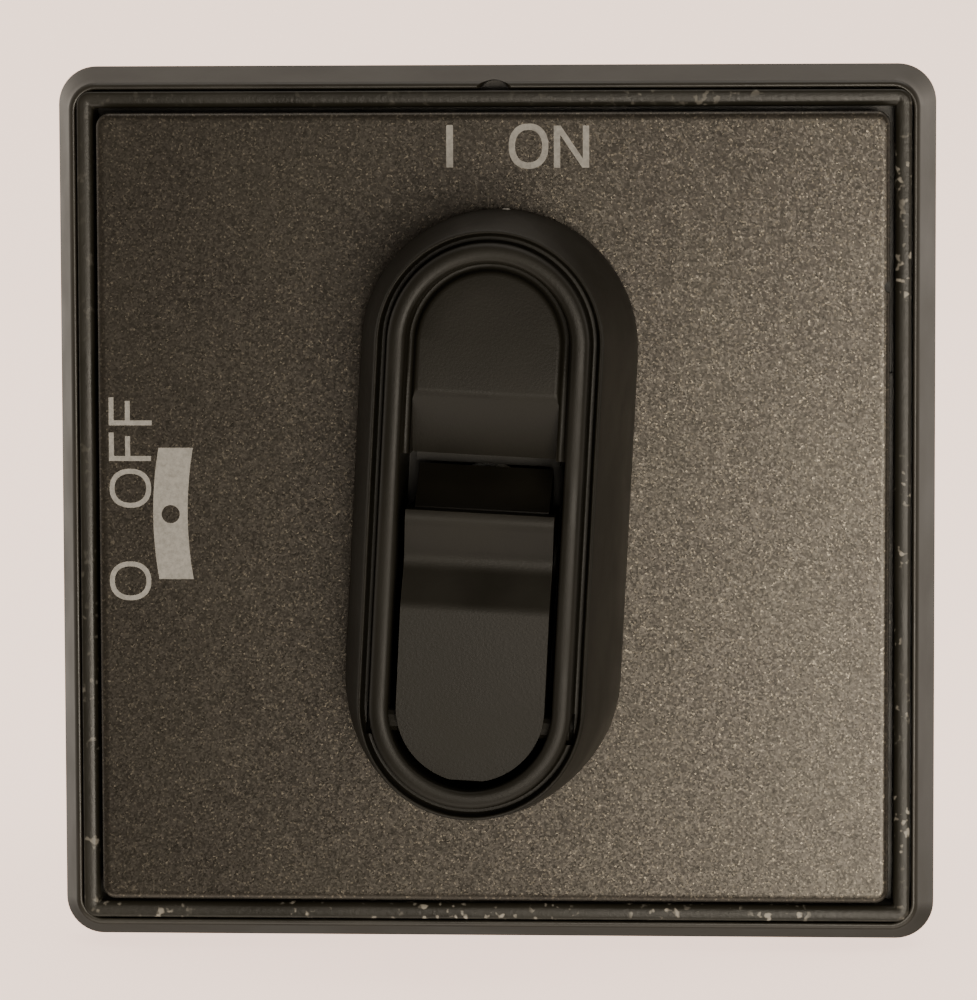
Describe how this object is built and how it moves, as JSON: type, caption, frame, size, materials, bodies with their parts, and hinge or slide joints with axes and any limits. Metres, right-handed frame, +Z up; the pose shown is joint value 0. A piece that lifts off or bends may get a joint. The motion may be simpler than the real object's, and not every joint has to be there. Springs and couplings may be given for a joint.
{
  "type": "rotary isolator switch",
  "caption": "Square panel-mounted rotary isolator with a tall stadium handle, a padlock lever in its face, a marked legend plate and stacked switching poles behind.",
  "frame": {"origin": "on the shaft axis, in the plane of the gasket's rear face, where the panel's front face lies", "axes": "-Y towards the operator, +Z up to the ON mark, +X to the operator's right; +Y runs back along the shaft into the enclosure"},
  "size_m": [0.06, 0.076, 0.06],
  "materials": {
    "black_plastic": "fine satin grain",
    "legend_film": "dark anthracite with fine metallic flakes, satin",
    "rubber": "matte",
    "grey_plastic": "moulded, satin",
    "rotor_nylon": "moulded, satin",
    "zinc_plated_steel": "bright zinc plating",
    "shaft_steel": "drawn",
    "brass": "machined",
    "silvered_copper": "copper with silvered tips, satin"
  },
  "bodies": {
    "base": {"panel_gasket": "rubber", "base_plate": "black_plastic", "cover_frame": "black_plastic", "legend_plate": "legend_film", "panel_screw_1": "zinc_plated_steel", "panel_screw_2": "zinc_plated_steel", "panel_screw_3": "zinc_plated_steel", "panel_screw_4": "zinc_plated_steel", "mechanism_housing": "grey_plastic", "detent_spring_left": "zinc_plated_steel", "detent_spring_right": "zinc_plated_steel", "pole_housing_1": "grey_plastic", "fixed_contact_line_1": "brass", "terminal_screw_line_1": "zinc_plated_steel", "fixed_contact_load_1": "brass", "terminal_screw_load_1": "zinc_plated_steel", "pole_housing_2": "grey_plastic", "fixed_contact_line_2": "brass", "terminal_screw_line_2": "zinc_plated_steel", "fixed_contact_load_2": "brass", "terminal_screw_load_2": "zinc_plated_steel", "pole_housing_3": "grey_plastic", "fixed_contact_line_3": "brass", "terminal_screw_line_3": "zinc_plated_steel", "fixed_contact_load_3": "brass", "terminal_screw_load_3": "zinc_plated_steel", "rear_cover": "grey_plastic", "tie_screw_1": "zinc_plated_steel", "tie_screw_2": "zinc_plated_steel", "tie_screw_3": "zinc_plated_steel", "tie_screw_4": "zinc_plated_steel"},
    "handle": {"knob": "black_plastic", "lever_pin": "black_plastic", "lever_spring": "zinc_plated_steel", "knob_washer": "zinc_plated_steel", "knob_screw": "zinc_plated_steel", "collar_seal": "rubber", "shaft": "shaft_steel", "detent_hub": "rotor_nylon", "rotor_1": "rotor_nylon", "moving_contact_1": "silvered_copper", "contact_spring_1": "zinc_plated_steel", "rotor_2": "rotor_nylon", "moving_contact_2": "silvered_copper", "contact_spring_2": "zinc_plated_steel", "rotor_3": "rotor_nylon", "moving_contact_3": "silvered_copper", "contact_spring_3": "zinc_plated_steel"},
    "lever": {"padlock_lever": "black_plastic"}
  },
  "joints": [
    {"name": "knob_turn", "type": "hinge", "parent": "base", "child": "handle", "pos_m": [0, 0, 0], "axis": [0, -1, 0], "range_deg": [0, 93.1], "deforming": ["detent_spring_left", "detent_spring_right"]},
    {"name": "padlock_lever_lift", "type": "hinge", "parent": "handle", "child": "lever", "pos_m": [-0.0007, -0.0198, -0.01298], "axis": [0.9985, 0, -0.0541], "range_deg": [0, 70], "stiffness_Nm_per_rad": 0.004, "springref_deg": -34.38, "deforming": ["lever_spring"]}
  ]
}
